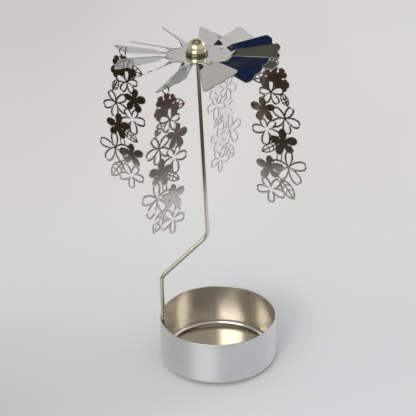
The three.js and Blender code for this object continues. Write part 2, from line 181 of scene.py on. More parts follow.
class StemSizes(bpy.types.PropertyGroup):
    """Sizes of the bent wire."""

    radius: length("Radius", "Half the wire's thickness", 0.00075)
    grip_gap: length("Grip gap", "Room between wire and strap", 0.00003)
    tail: length("Tail", "What stands out below the strap", 0.0005)
    lower_bend: length("Lower bend", "Height of the lower bend", 0.0341)
    upper_bend: length("Upper bend", "Height of the upper bend", 0.0501)
    upper_offset: length("Upper offset", "From the cup's axis to the upper bend", 0.0032)
    bend_radius: length("Bend radius", "Radius of both bends", 0.004)
    needle: length("Needle", "Length of the ground point", 0.0026)
    point: length("Point", "Radius of the point itself", 0.0001)


class FanSizes(bpy.types.PropertyGroup):
    """Sizes of the stamped fan, its cap and its collar."""

    height: length("Height", "Middle of the fan's sheet above the underside", 0.1169)
    sheet: length("Sheet", "Thickness of the sheet", 0.0003)
    hub: length("Hub", "Radius where the slits begin", 0.0089)
    valley: length("Valley", "Radius of the valleys between scallops", 0.0268)
    scallop: length("Scallop", "Height of a scallop over its valleys", 0.0009)
    slit: length("Slit", "Width of a slit at its root", 0.0004)
    slit_mouth: length("Slit mouth", "Width of a slit at the rim", 0.0015)
    twist: length("Twist", "Length over which a blade turns to its pitch", 0.0045)
    edge: length("Edge", "Width of the rounding of the sheared edges", 0.00007)
    hole: length("Hole", "Radius of a hook hole", 0.0009)
    hole_setback: length("Hole setback", "From the valley radius in to the hole", 0.0015)
    hole_offset: length("Hole offset", "From the blade's middle line to the hole", 0.0012)
    cap: length("Cap", "Outer radius of the cap", 0.0033)
    cap_wall: length("Cap wall", "Thickness of the cap", 0.00035)
    shoulder: length("Shoulder", "From the sheet up to where the dome begins", 0.0022)
    flange: length("Flange", "Reach of the cap's flange under the hub", 0.001)
    fit: length("Fit", "Room between cap, hub and collar", 0.00004)
    collar_wall: length("Collar wall", "Thickness of the collar", 0.0004)
    collar_height: length("Collar height", "Height of the collar", 0.0009)


class PendantSizes(bpy.types.PropertyGroup):
    """Sizes of the etched blossom pendants."""

    drop: length("Drop", "Length that the blossoms' shares are of", 0.05)
    petal: length("Petal", "Length of a petal whose share is 1", 0.005)
    sheet: length("Sheet", "Thickness of the sheet", 0.00035)
    line: length("Line", "Width of the bars round a cut-out", 0.00058)
    hook: length("Hook", "Radius of the hook's bow, to its middle", 0.001225)
    hook_width: length("Hook width", "Width of the hook's bow", 0.0005)
    eye: length("Eye", "Radius of the open middle of a ring blossom", 0.00065)
    notch: length("Notch", "Depth of the notch in the tip of an open petal", 0.0004)
    edge: length("Edge", "Radius of the etched edge", 0.00007)
    step: length("Step", "Spacing of the grid that the outline is cut from", 0.00014)


class FinishColours(bpy.types.PropertyGroup):
    """Colours of the metal as it reflects straight on; cup inside, cup floor and collar hold painted light
    too.
    """

    cup: colour("Cup", "Drawn steel, outside", (0.765, 0.78, 0.805))
    # Painted reflection in the inside's warmer tone, painted shade in the floor's darker, browner colour
    cup_inside: colour("Cup inside", "Drawn steel, inside", (0.74, 0.715, 0.665))
    cup_floor_shade: colour("Cup floor", "Floor of the cup, darkened as painted shade", (0.50, 0.45, 0.375))
    wire: colour("Wire", "Nickel plate", (0.73, 0.70, 0.61))
    mirror: colour("Mirror sheet", "Rolled sheet of the fan", (0.74, 0.74, 0.75))
    cap: colour("Cap", "Polished cap and collar", (0.74, 0.70, 0.56))
    # Painted shade: the collar is the cap's polished metal, given a far darker colour
    collar: colour("Collar", "Collar pressed over the cap", (0.19, 0.165, 0.115))
    sheared: colour("Sheared edge", "Edges of the fan's blades", (0.40, 0.39, 0.37))
    etched: colour("Etched sheet", "Pendants", (0.70, 0.66, 0.63))
    etched_edge: colour("Etched edge", "Edges of the pendants", (0.34, 0.31, 0.285))


class StageColours(bpy.types.PropertyGroup):
    """Floor, background and what the metal sees of the studio."""

    # Painted light and shade across the floor: darker on the left, lighter behind the object
    floor_near: colour("Floor", "Floor round the object", (0.598, 0.612, 0.626))
    floor_left_shade: colour("Floor on the left", "Floor in front on the left", (0.45, 0.45, 0.44))
    floor_far: colour("Floor far off", "Floor behind the object", (0.692, 0.685, 0.675))
    floor_far_left_shade: colour("Floor far left", "Floor behind the object on the left", (0.628, 0.622, 0.61))
    floor_horizon: colour("Floor at the horizon", "Floor where it meets the backdrop", (0.86, 0.85, 0.83))
    backdrop: colour("Backdrop", "Background beyond the floor", (0.71, 0.70, 0.685))
    cloth: seen("Dark cloth", "Cloth on the left of the table", (0.028, 0.022, 0.014))
    cloth_right: seen("Red cloth", "Cloth far out on the right", (0.070, 0.035, 0.035))
    glare: seen("Glare", "Lit table behind on the right", (0.93, 0.95, 0.97))
    shade: seen("Shade", "Table in the shade on the right", (0.16, 0.14, 0.13))
    apron: seen("Apron", "Dark table in front of the camera", (0.075, 0.048, 0.046))
    ceiling: seen("Ceiling", "Dark ceiling", (0.010, 0.017, 0.050))
    beam: seen("Beam", "Brown beam low in the ceiling", (0.095, 0.070, 0.048))
    panel: seen("Panel", "Olive panel behind on the left of the ceiling", (0.085, 0.088, 0.066))
    zenith: seen("Zenith", "Pale panel right above", (0.48, 0.46, 0.38))
    front: seen("Front ceiling", "Ceiling over the camera", (0.20, 0.185, 0.13))
    haze: seen("Haze", "Pale wall behind", (0.70, 0.68, 0.64))
    haze_left: seen("Haze on the left", "Wall behind on the left", (0.55, 0.53, 0.485))
    soft_light: level("Soft light", "Level of the even light", 0.82, 4.0)
    key_light: level("Key light", "Power of the key lamp in watts", 4.2, 100.0)
    small_light: level("Small light", "Power of the small lamp that draws the shadows in watts", 2.8, 100.0)
    side_light: level("Side light", "Power of the lamp behind on the right in watts", 0.8, 100.0)


# Grids and meshes

def cell_corners(grid):
    """A grid's values at the four corners of each cell, in turn: a point, the next in its row, the one after
    that in the next row, and the one below the first."""
    return [grid[:-1, :-1], grid[:-1, 1:], grid[1:, 1:], grid[1:, :-1]]


def net(rows, columns, ring=False):
    """Faces of a grid of points that lies row by row. A ring joins the last column to the first."""
    index = np.arange(rows * columns).reshape(rows, columns)
    if ring:
        index = np.concatenate([index, index[:, :1]], axis=1)
    return np.stack(cell_corners(index), axis=-1).reshape(-1, 4)


def gathered(*surfaces):
    """Several (points, faces) as one: the faces of each are shifted by the points before them."""
    shifts = np.cumsum([0] + [len(points) for points, _ in surfaces[:-1]])
    points = np.concatenate([points for points, _ in surfaces])
    return points, np.concatenate([faces + shift for (_, faces), shift in zip(surfaces, shifts)])


def put_mesh(name, points, faces, material, values=None, closed=True, crease=40):
    """An object whose mesh holds the points (mm) and faces (rows of corners, where a face with fewer corners
    repeats one). Points that fall together become one, so seams and poles close, and a face keeps the corners
    that differ from the next. values is {attribute: one number a point}."""
    points = np.asarray(points, float).reshape(-1, 3)
    _, first, merged = np.unique(np.round(points, 5) + 0.0, axis=0, return_index=True, return_inverse=True)
    faces = merged.reshape(-1)[faces]
    keep = faces != np.roll(faces, -1, axis=1)
    sizes = keep.sum(axis=1)
    whole = sizes >= 3
    used, corners = np.unique(faces[whole][keep[whole]], return_inverse=True)
    starts = np.cumsum(sizes[whole]) - sizes[whole]
    mesh = bpy.data.meshes.new(name)
    mesh.vertices.add(len(used))
    mesh.vertices.foreach_set("co", (points[first[used]] * MM).astype(np.float32).ravel())
    mesh.loops.add(len(corners))
    mesh.loops.foreach_set("vertex_index", corners.reshape(-1).astype(np.int32))
    mesh.polygons.add(len(starts))
    mesh.polygons.foreach_set("loop_start", starts.astype(np.int32))
    mesh.update(calc_edges=True)
    for key, numbers in (values or {}).items():
        attribute = mesh.attributes.new(key, "FLOAT", "POINT")
        attribute.data.foreach_set("value", numbers.reshape(-1)[first[used]].astype(np.float32))
    if mesh.validate():
        raise RuntimeError(f"{name} has faces that don't hold together")
    if closed:
        shell = bmesh.new()
        shell.from_mesh(mesh)
        bmesh.ops.recalc_face_normals(shell, faces=shell.faces)
        shell.to_mesh(mesh)
        shell.free()
    mesh.shade_smooth()
    mesh.set_sharp_from_angle(angle=math.radians(crease))
    mesh.materials.append(material)
    piece = bpy.data.objects.new(name, mesh)
    bpy.context.scene.collection.objects.link(piece)
    return piece


def seat(piece, body, slot, *nodes):
    """The piece rides on a body and stands for its CAD nodes, which are hidden. The slot is not used."""
    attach(piece, body)
    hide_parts(*nodes)
    return piece


def arc(x, y, radius, start, end, steps):
    """Points on a circle about (x, y), from one angle in degrees to another, in even steps."""
    angle = np.radians(np.linspace(start, end, steps + 1))
    return np.stack([x + radius * np.cos(angle), y + radius * np.sin(angle)], axis=-1)


def round_steps(steps):
    """Angles in radians of even steps once round."""
    return np.arange(steps) * 2 * math.pi / steps


def smooth(value, low, high):
    """0 below low and 1 above high, with 3t² - 2t³ between them."""
    t = np.clip((value - low) / (high - low), 0, 1)
    return t * t * (3 - 2 * t)


def revolve(profile, angles, centre=(0, 0, 0)):
    """A profile of (radius, height) turned about Z: x is the radius times the angle's cosine, y the radius
    times its sine, and z the height. A profile that starts outwards along the bottom faces out."""
    radius, height = profile[:, :1], profile[:, 1:]
    points = np.stack(np.broadcast_arrays(
        radius * np.cos(angles), radius * np.sin(angles), height + 0 * angles), axis=-1)
    return points.reshape(-1, 3) + centre, net(len(profile), len(angles), ring=True)


def carried(path, section, side):
    """A closed section carried along a path. Each point of the section is the path's point plus its first
    number along the path's normal and its second along the fixed side; the normal is the side crossed with
    the path's direction. The section may change from point to point. Both ends close on the path itself."""
    direction = np.gradient(path, axis=0)
    direction /= np.linalg.norm(direction, axis=1, keepdims=True)
    normal = np.cross(side, direction)
    section = np.broadcast_to(section, (len(path),) + section.shape[-2:])
    rings = path[:, None] + section[..., :1] * normal[:, None] + section[..., 1:] * np.asarray(side, float)
    first, last = (np.broadcast_to(path[i], rings[:1].shape) for i in (0, -1))
    rings = np.concatenate([first, rings, last])
    return rings.reshape(-1, 3), net(len(rings), rings.shape[1], ring=True)


# Shader maths

class Wire:
    """A socket of a shader tree that can stand in a sum: each operator adds the Math node for it."""

    def __init__(self, tree, socket):
        self.tree, self.socket = tree, socket

    def math(self, operation, *terms, clamp=False):
        node = self.tree.nodes.new("ShaderNodeMath")
        node.operation, node.use_clamp = operation, clamp
        for slot, term in zip(node.inputs, terms):
            join(self.tree, slot, term)
        return Wire(self.tree, node.outputs[0])

    def __add__(self, other):
        return self.math("ADD", self, other)

    def __sub__(self, other):
        return self.math("SUBTRACT", self, other)

    def __rsub__(self, other):
        return self.math("SUBTRACT", other, self)

    def __mul__(self, other):
        return self.math("MULTIPLY", self, other)

    def __pow__(self, other):
        return self.math("POWER", self, other)

    __radd__, __rmul__ = __add__, __mul__

    def between(self, low, high):
        """0 at low and 1 at high, with a smooth step between them. Low may be the larger."""
        t = self.math("DIVIDE", self - low, high - low, clamp=True)
        return t * t * (3.0 - 2.0 * t)


def join(tree, slot, value):
    """Links a wire to a socket, or sets the socket to a number, colour or vector."""
    if isinstance(value, Wire):
        tree.links.new(value.socket, slot)
    else:
        slot.default_value = value


class Finish:
    """A node tree with one way to add a node: its type, its settings, then the values or wires of its
    sockets, which are given by name, identifier or number."""

    def __init__(self, tree):
        self.tree = tree
        tree.nodes.clear()

    def node(self, kind, settings=None, sockets=None):
        node = self.tree.nodes.new("ShaderNode" + kind)
        for key, value in (settings or {}).items():
            setattr(node, key, value)
        for key, value in (sockets or {}).items():
            slots = [s for i, s in enumerate(node.inputs) if key in (s.identifier, i) and s.enabled]
            slots = slots or [s for s in node.inputs if s.name == key and s.enabled]
            join(self.tree, slots[0], value)
        return node

    def out(self, kind, settings=None, sockets=None, output=0):
        """The same, but returns the wire of one of the node's outputs."""
        node = self.node(kind, settings, sockets)
        named = [s for i, s in enumerate(node.outputs) if output in (s.name, s.identifier, i) and s.enabled]
        return Wire(self.tree, named[0])

    def place(self):
        """Object coordinates, in metres."""
        return self.out("TexCoord", output="Object")

    def parts(self, vector):
        """The three numbers of a vector."""
        node = self.node("SeparateXYZ", sockets={"Vector": vector})
        return [Wire(self.tree, s) for s in node.outputs]

    def around(self, vector):
        """Distance of a place from the Z axis."""
        x, y, _ = self.parts(vector)
        return (x * x + y * y) ** 0.5

    def edge(self):
        """The edge attribute of a sheet: 0 on its outline and 1 inside."""
        return self.out("Attribute", {"attribute_name": "edge"}, output="Fac")

    def scaled(self, vector, factors):
        """A vector with each of its numbers multiplied."""
        return self.out("VectorMath", {"operation": "MULTIPLY"}, {0: vector, 1: factors})

    def noise(self, vector, scale, detail, roughness=0.5, distortion=0.0):
        """Noise from 0 to 1, scale features to a metre."""
        return self.out("TexNoise", {"noise_dimensions": "3D"}, {
            "Vector": vector, "Scale": scale, "Detail": detail, "Roughness": roughness,
            "Distortion": distortion})

    def blend(self, factor, first, second):
        """A colour from the first at 0 to the second at 1."""
        first, second = (c if isinstance(c, Wire) else (*c, 1) for c in (first, second))
        return self.out("Mix", {"data_type": "RGBA", "clamp_factor": True}, {
            "Factor_Float": factor, "A_Color": first, "B_Color": second}, "Result_Color")

    def bump(self, height, distance, strength, normal=None):
        """A normal from a height of 0 to 1, times a distance in metres, over the bumps of another normal."""
        sockets = {"Height": height, "Distance": distance, "Strength": strength}
        if normal is not None:
            sockets["Normal"] = normal
        return self.out("Bump", sockets=sockets, output="Normal")


def painted(name, shader):
    """A material whose surface is what shader returns for its tree."""
    material = bpy.data.materials.new(name)
    material.use_nodes = True
    finish = Finish(material.node_tree)
    finish.node("OutputMaterial", sockets={"Surface": shader(finish)})
    return material


def metal(name, look, anisotropy=0.0, grazing=1.0):
    """A metal from what look returns for its tree and place: base colour, roughness, normal, and the share of
    even highlights or None. Where they aren't even, anisotropy draws them out along Z, as fine rings round Z
    do. Grazing is the share of light that the metal keeps when seen edge on."""

    def shader(finish):
        base, roughness, normal, even = look(finish, finish.place())
        sockets = {"Base Color": base, "Roughness": roughness, "Metallic": 1.0, "Normal": normal,
                   "Specular Tint": (grazing, grazing, grazing, 1)}
        drawn_out = finish.out("BsdfPrincipled", sockets={
            **sockets, "Anisotropic": anisotropy, "Anisotropic Rotation": 0.25})
        if even is None:
            return drawn_out
        isotropic = finish.out("BsdfPrincipled", sockets=sockets)
        return finish.out("MixShader", sockets={0: even, 1: drawn_out, 2: isotropic})

    return painted(name, shader)


def drawn_steel(colours, cup):
    """Satin drawn steel: fine rings round wall and floor, broad soft stains, a smoother inside whose warmer
    tone is a painted reflection, and the smoothest floor, darkened and browned as painted shade."""
    middle = cup.radius - cup.wall / 2

    def look(finish, here):
        x, y, z = finish.parts(here)
        out = finish.around(here)
        grooves = finish.out("CombineXYZ", sockets={0: x * 70.0, 1: y * 70.0, 2: (z + out * 0.7) * 2400.0})
        rings = finish.noise(grooves, 1.0, 3.0, 0.6)
        inner = out.between(middle, middle - 0.00015) * z.between(cup.wall * 0.4, cup.wall * 0.9)
        # Painted reflection in the inside's warmer tone, painted shade darkening it towards the floor
        low = z.between(0.0022, 0.0008)
        inside = finish.blend(low, colours.cup_inside, colours.cup_floor_shade)
        shade = finish.blend(inner, colours.cup, inside)
        stains = finish.noise(here, 90.0, 3.0).between(0.35, 0.75)
        worn = finish.blend(stains * 0.12, shade, (0.50, 0.49, 0.48))
        base = finish.blend(rings * 0.12, worn, (0.80, 0.79, 0.78))
        dull = 0.40 - (0.19 + 0.095 * low) * inner
        roughness = dull + 0.05 * rings + 0.04 * finish.noise(here, 160.0, 2.0)
        broad = finish.bump(finish.noise(here, 90.0, 1.0), 0.00012, 0.15)
        return base, roughness, finish.bump(rings, 0.000006, 0.5, broad), inner

    return metal("drawn_steel", look, anisotropy=0.85)


def nickel_wire(colours):
    """Bright nickel plate over drawn wire: long fine streaks and small specks."""

    def look(finish, here):
        streaks = finish.noise(finish.scaled(here, (3200.0, 3200.0, 90.0)), 1.0, 3.0, 0.6)
        specks = finish.noise(here, 1500.0, 2.0).between(0.62, 0.74)
        base = finish.blend(specks * 0.35, colours.wire, (0.34, 0.31, 0.25))
        return base, 0.10 + 0.14 * streaks, finish.bump(streaks, 0.00002, 0.5), None

    return metal("nickel_wire", look)


def mirror_sheet(colours):
    """Mirror-bright rolled sheet: faint rolling lines, slow waves, a few dull smears and sheared edges."""

    def look(finish, here):
        face = finish.edge().between(0.02, 0.14)
        lines = finish.noise(finish.scaled(here, (70.0, 2600.0, 70.0)), 1.0, 2.0)
        smears = finish.noise(here, 110.0, 3.0, 0.55, 0.6).between(0.5, 0.8)
        shade = finish.blend(smears * 0.25, colours.mirror, (0.60, 0.59, 0.57))
        base = finish.blend(face, colours.sheared, shade)
        roughness = 0.345 - 0.3 * face + 0.05 * lines + 0.08 * smears
        waves = finish.bump(finish.noise(here, 75.0, 1.0), 0.0003, 0.5)
        return base, roughness, finish.bump(lines, 0.000004, 0.5, waves), None

    return metal("mirror_sheet", look, grazing=0.72)


def polished(name, shade):
    """Polished drawn sheet: fine turned rings, duller and warmer in places."""
    dull = [part * kept for part, kept in zip(shade, (0.78, 0.76, 0.68))]

    def look(finish, here):
        rings = finish.noise(finish.scaled(here, (120.0, 120.0, 5200.0)), 1.0, 2.0)
        base = finish.blend(rings * 0.4, shade, dull)
        return base, 0.20 + 0.10 * rings, finish.bump(rings, 0.000008, 0.5), None

    return metal(name, look, anisotropy=0.6)


def etched_sheet(colours):
    """Mirror-bright thin sheet: soft, duller etched edges, slow waves, and smears of handling."""

    def look(finish, here):
        inner = finish.edge()
        smears = finish.noise(here, 210.0, 3.0).between(0.35, 0.8)
        face = finish.blend(smears * 0.3, colours.etched, (0.55, 0.51, 0.47))
        base = finish.blend(inner, colours.etched_edge, face)
        roughness = 0.40 - 0.31 * inner + 0.06 * finish.noise(here, 900.0, 2.0)
        waves = finish.bump(finish.noise(here, 95.0, 1.0), 0.00025, 0.5)
        grain = finish.noise(here, 2600.0, 2.0)
        return base, roughness, finish.bump(grain, 0.000005, 0.5, waves), None

    return metal("etched_sheet", look)


# Cup and stem

def cup_surface(cup, stem):
    """The cup's profile turned about Z: bottom, outer corner, wall, rounded lip, inner wall, inner corner and
    floor. The faces between the strap's two heights and the window's two angles are left out in both walls,
    and four jambs join the two edges of the window."""
    radius, height, wall, corner = (v / MM for v in (cup.radius, cup.height, cup.wall, cup.corner))
    top = height - cup.strap_drop / MM
    bottom = top - cup.strap_height / MM
    bore = (stem.radius + stem.grip_gap) / MM
    lip = wall / 2
    wall_rows = (corner + 2, corner + 5)
    flat_steps, corner_steps, lip_steps = 8, 10, 8
    profile = np.concatenate([
        np.column_stack([np.linspace(0, radius - corner, flat_steps + 1)[:-1], np.zeros(flat_steps)]),
        arc(radius - corner, corner, corner, -90, 0, corner_steps),
        [[radius, z] for z in (*wall_rows, bottom, top)],
        arc(radius - lip, height - lip, lip, 0, 180, lip_steps),
        [[radius - wall, z] for z in (top, bottom, *reversed(wall_rows))],
        arc(radius - corner, corner, corner - wall, 0, -90, corner_steps),
        np.column_stack([np.linspace(radius - corner, 0, flat_steps + 1)[1:], np.full(flat_steps, wall)]),
    ])
    half = math.asin(bore / radius)
    even = round_steps(cup.segments)
    edges = np.array([math.pi - half, math.pi + half])
    clear = np.abs(even - math.pi) > half * 1.2
    angles = np.sort(np.concatenate([even[clear], edges, [math.pi]]))
    points, faces = revolve(profile, angles)
    on_top, on_bottom = (np.flatnonzero(np.isclose(profile[:, 1], z)) for z in (top, bottom))
    left, right = (int(np.argmin(np.abs(angles - edge))) for edge in edges)
    row, column = np.divmod(faces[:, 0], len(angles))
    opened = np.isin(row, [on_bottom[0], on_top[1]]) & (column >= left) & (column < right)
    index = np.arange(len(points)).reshape(len(profile), len(angles))
    across = [[index[outer, j], index[outer, j + 1], index[inner, j + 1], index[inner, j]]
              for outer, inner in (on_bottom, on_top) for j in range(left, right)]
    upright = [[index[on_bottom[0], j], index[on_top[0], j], index[on_top[1], j], index[on_bottom[1], j]]
               for j in (left, right)]
    return points, np.concatenate([faces[~opened], np.array(across + upright)])


def strap_surface(cup, stem):
    """A flat band with rounded edges carried along a path that leaves the wall, goes round the wire and
    comes back: two straight runs and half a circle about the wire's middle."""
    outer, wall, thickness = cup.radius / MM, cup.wall / MM, cup.strap_thickness / MM
    bore = (stem.radius + stem.grip_gap) / MM
    foot = outer - wall - bore
    middle = bore + thickness / 2
    height = (cup.height - cup.strap_drop - cup.strap_height / 2) / MM
    near = outer - wall / 2
    straight_end = -foot - 0.3
    path = np.concatenate([[[-near, -middle], [straight_end, -middle]], arc(-foot, 0, middle, -90, 90, 24),
                           [[straight_end, middle], [-near, middle]]])
    path = np.column_stack([path, np.full(len(path), height)])
    soft = 0.1
    across, along = thickness / 2 - soft, cup.strap_height / MM / 2 - soft
    corners = [(across, along, 0), (-across, along, 90), (-across, -along, 180), (across, -along, 270)]
    section = np.concatenate([arc(x, y, soft, start, start + 90, 4) for x, y, start in corners])
    return carried(path, section, (0, 0, 1))


def bend(before, corner, after, radius, steps):
    """Even points on the arc that rounds a corner: its middle lies on the bisector, a radius over the sine of
    half the corner's angle away, and the points turn from the first run's foot of the arc to the second's."""
    a, b = (v / np.linalg.norm(v) for v in (before - corner, after - corner))
    half = math.acos(float(a @ b)) / 2
    bisector = (a + b) / np.linalg.norm(a + b)
    centre = corner + bisector * radius / math.sin(half)
    start, end = (corner + v * radius / math.tan(half) - centre for v in (a, b))
    turn = math.pi - 2 * half
    t = np.linspace(0, 1, steps + 1)[:, None]
    return centre + (np.sin((1 - t) * turn) * start + np.sin(t * turn) * end) / math.sin(turn)


def stem_surface(cup, stem, fan):
    """A circle carried along the stem's path from the foot in the strap over two rounded bends to the needle
    point in the cap's dome. Its radius is the wire's, less a rounded foot and the cone of the needle."""
    foot_x = -(cup.radius - cup.wall - stem.radius - stem.grip_gap)
    under_dome = 0.0001
    tip_z = fan.height + fan.shoulder + fan.cap - fan.cap_wall - under_dome
    foot_z = cup.height - cup.strap_drop - cup.strap_height - stem.tail
    foot, lower, upper, tip = (np.array(p) / MM for p in (
        (foot_x, foot_z), (foot_x, stem.lower_bend), (-stem.upper_offset, stem.upper_bend),
        (SPIN["pos_m"][0], tip_z)))
    run = (tip - upper) / np.linalg.norm(tip - upper)
    point, radius = stem.point / MM, stem.radius / MM
    neck = tip - run * stem.needle / MM
    ease = 0.25
    quarter = np.radians(np.linspace(0, 90, 5))
    start = foot + np.outer(ease * (1 - np.cos(np.radians(np.linspace(0, 90, 6)))), (0, 1))
    needle = neck + np.outer(np.linspace(0, 1, 8)[1:-1], tip - run * point - neck)
    end = tip + np.outer(-point * (1 - np.sin(quarter)), run)
    path = np.concatenate([start, bend(foot, lower, upper, stem.bend_radius / MM, 20),
                           bend(lower, upper, tip, stem.bend_radius / MM, 14), [neck], needle, end])
    to_foot = np.clip((path[:, 1] - foot[1]) / ease, 0, 1)
    to_tip = np.clip(((tip - path) @ run - point) / (stem.needle / MM - point), 0, 1)
    cone = point + (radius - point) * to_tip
    cone[-len(quarter):] = point * np.cos(quarter)
    foot_round = radius - ease * (1 - np.sqrt(np.clip(1 - (1 - to_foot) ** 2, 0, 1)))
    radii = np.minimum(cone, foot_round)
    angle = round_steps(WIRE_STEPS)
    section = radii[:, None, None] * np.stack([np.cos(angle), np.sin(angle)], axis=-1)
    path = np.column_stack([path[:, 0], np.zeros(len(path)), path[:, 1]])
    return carried(path, section, (0, 1, 0))


# Fan, cap and collar

def hub_centre(fan):
    """The middle of the hub, on the spindle."""
    return SPIN["pos_m"][0] / MM, 0, fan.height / MM


def half_angle(fan, radius):
    """Half the angle that a blade fills: a twelfth of a half turn, less half the slit's width over the
    radius. The slit widens evenly from root to mouth and starts as a round root at the hub."""
    hub, valley = fan.hub / MM, fan.valley / MM
    along = np.clip((radius - hub) / (valley - hub), 0, 1)
    slit = fan.slit / MM * (1 - along) + fan.slit_mouth / MM * along
    root = fan.slit / MM / 2
    deep = np.clip((radius - hub) / root, 0, 1)
    slit = slit * np.sqrt(np.clip(1 - (1 - deep) ** 2, 0, 1))
    return math.pi / len(BLADE_SETS) - np.arcsin(slit / 2 / radius)


def blade_points(fan, blade, reach, across):
    """Points of one blade's middle surface. Reach runs out along the middle line, flat to the hub and then
    the way that lift and sweep give. Across is turned by pitch, lift and sweep, each times a smooth step
    from the hub over the twist's length. All is turned to the blade's bearing about the spindle."""
    hub = fan.hub / MM
    pitch, lift, sweep = np.radians(BLADE_SETS[blade])
    part = smooth(reach, hub, hub + fan.twist / MM)
    beyond, flat = np.maximum(reach - hub, 0), np.minimum(reach, hub)
    x = flat + beyond * math.cos(lift) * math.cos(sweep)
    y = beyond * math.cos(lift) * math.sin(sweep)
    z = beyond * math.sin(lift)
    side, up = across * np.cos(pitch * part), across * np.sin(pitch * part)
    back = -up * np.sin(lift * part)
    x = x + back * np.cos(sweep * part) - side * np.sin(sweep * part)
    y = y + back * np.sin(sweep * part) + side * np.cos(sweep * part)
    z = z + up * np.cos(lift * part)
    bearing = math.radians(FIRST_BEARING + 360 / len(BLADE_SETS) * blade)
    turned = np.stack([x * math.cos(bearing) - y * math.sin(bearing),
                       x * math.sin(bearing) + y * math.cos(bearing), z], axis=-1)
    return turned + hub_centre(fan)


def fan_surface(fan):
    """Twelve sectors, each a grid of radius and angle from the bore to a rim of three scallops, whose height
    is the cosine of one and a half half turns of the width share. Where a hook hangs, the second ring of grid
    points round the hole is moved onto its circle, the third part of the way, and what lies inside it is
    left out. The third result is 0 on the slits, the rim and the holes' borders, and 1 elsewhere."""
    bore, hub, valley = (fan.cap + fan.fit) / MM, fan.hub / MM, fan.valley / MM
    hub_rows, blade_rows, columns = 12, 46, 37
    slit_roots = hub + np.array([0.02, 0.07, 0.14, 0.24])
    blade_start = hub + 0.5
    rows = np.concatenate([np.linspace(bore, hub, hub_rows), slit_roots,
                           np.linspace(blade_start, valley, blade_rows)])
    width = np.linspace(-1, 1, columns)
    scallops, scallop_reach = 3, 5
    rise = fan.scallop / MM * np.abs(np.cos(math.pi / 2 * scallops * width))
    radius = rows[:, None] + smooth(rows, valley - scallop_reach, valley)[:, None] * rise
    angle = half_angle(fan, radius) * width
    hole = np.array([valley - fan.hole_setback / MM, -fan.hole_offset / MM])
    whole = np.stack([radius * np.cos(angle), radius * np.sin(angle)], axis=-1)
    apart = whole - hole
    gap = np.linalg.norm(apart, axis=-1, keepdims=True)
    row, column = np.unravel_index(np.argmin(gap), gap.shape[:2])
    ring = np.maximum(np.abs(np.arange(len(rows)) - row)[:, None], np.abs(np.arange(columns) - column))
    cut, fade = 2, 1.6
    kept = np.clip((ring[..., None] - cut) / fade, 0, 1)
    pierced = hole + apart * (kept + (1 - kept) * fan.hole / MM / np.maximum(gap, 1e-6))
    faces = net(len(rows), columns)
    inner = np.all(ring.reshape(-1)[faces] <= cut, axis=1)
    face = np.ones((len(rows), columns))
    face[rows > hub, 0] = face[rows > hub, -1] = face[-1] = 0
    sectors, values = [], []
    for blade in range(len(BLADE_SETS)):
        hooked = blade in HOOKED_BLADES
        flat = pierced if hooked else whole
        points = blade_points(fan, blade, flat[..., 0], flat[..., 1]).reshape(-1, 3)
        sectors.append((points, faces[~inner] if hooked else faces))
        values.append(np.where(ring == cut, 0, face) if hooked else face)
    return *gathered(*sectors), np.stack(values)


def cap_surface(fan):
    """The thimble's profile turned about the spindle: under the dome, down the inner wall, out along the
    flange's underside, round its rim, back in, up the outer wall over a small fillet and over the dome."""
    radius, wall, shoulder = fan.cap / MM, fan.cap_wall / MM, fan.shoulder / MM
    seat_z = -(fan.sheet / 2 + fan.fit) / MM
    rim, edge = radius + fan.flange / MM, wall / 2
    fillet, wall_rows = 0.03, np.linspace(0.2, shoulder - 0.2, 5)
    profile = np.concatenate([
        arc(0, shoulder, radius - wall, 90, 0, 14),
        [[radius - wall, seat_z - wall]],
        arc(rim - edge, seat_z - edge, edge, -90, 90, 8),
        [[radius + fillet, seat_z], [radius, seat_z + fillet]], [[radius, z] for z in wall_rows],
        arc(0, shoulder, radius, 0, 90, 24),
    ])
    profile[[0, -1], 0] = 0
    return revolve(profile, round_steps(CAP_STEPS), hub_centre(fan))


def collar_surface(fan):
    """A ring round the cap: a closed profile of four rounded corners, the upper outer one the largest."""
    inner = (fan.cap + fan.fit) / MM
    outer = inner + fan.collar_wall / MM
    low = (fan.sheet / 2 + fan.fit) / MM
    high = low + fan.collar_height / MM
    ease, lead = 0.16, 0.08
    corners = np.concatenate([
        arc(inner + lead, low + lead, lead, 180, 270, 3), arc(outer - lead, low + lead, lead, -90, 0, 3),
        arc(outer - ease, high - ease, ease, 0, 90, 6), arc(inner + lead, high - lead, lead, 90, 180, 3),
    ])
    closed = np.concatenate([corners, corners[:1]])
    return revolve(closed, round_steps(CAP_STEPS), hub_centre(fan))


# Pendants

def bezier(a, b, c, d):
    """Points of a cubic: (1-t)³a + 3(1-t)²t b + 3(1-t)t² c + t³d, without the last one."""
    t = np.linspace(0, 1, CURVE_STEPS + 1)[:-1, None]
    a, b, c, d = (np.asarray(p, float) for p in (a, b, c, d))
    return (1 - t) ** 3 * a + 3 * (1 - t) ** 2 * t * b + 3 * (1 - t) * t * t * c + t ** 3 * d


def petal_point(centre, bearing, x, y):
    """A point x to one side and y along a petal's bearing, which turns clockwise from up."""
    turn = math.radians(bearing)
    return centre + np.array([x * math.cos(turn) + y * math.sin(turn),
                              y * math.cos(turn) - x * math.sin(turn)])


def blossom_outline(centre, full, valley, petals, notch):
    """Petals in turn, each two cubics from one valley over its tip to the next, with a notch in the tip."""
    runs = []
    for index, (bearing, size) in enumerate(petals):
        point = lambda x, y: petal_point(centre, bearing, x, y * size)
        side = full * size
        valleys = []
        for other_bearing, other in (petals[index - 1], petals[(index + 1) % len(petals)]):
            turn = (other_bearing - bearing + 540) % 360 - 180
            valleys.append(petal_point(centre, bearing + turn / 2, 0, valley * (size + other) / 2))
        runs += [bezier(valleys[0], point(-side, PETAL_BELLY), point(-side, 1), point(-notch, 1)),
                 [point(-notch, 1), point(0, 1 - notch / size)],
                 bezier(point(notch, 1), point(side, 1), point(side, PETAL_BELLY), valleys[1])]
    return np.concatenate(runs)


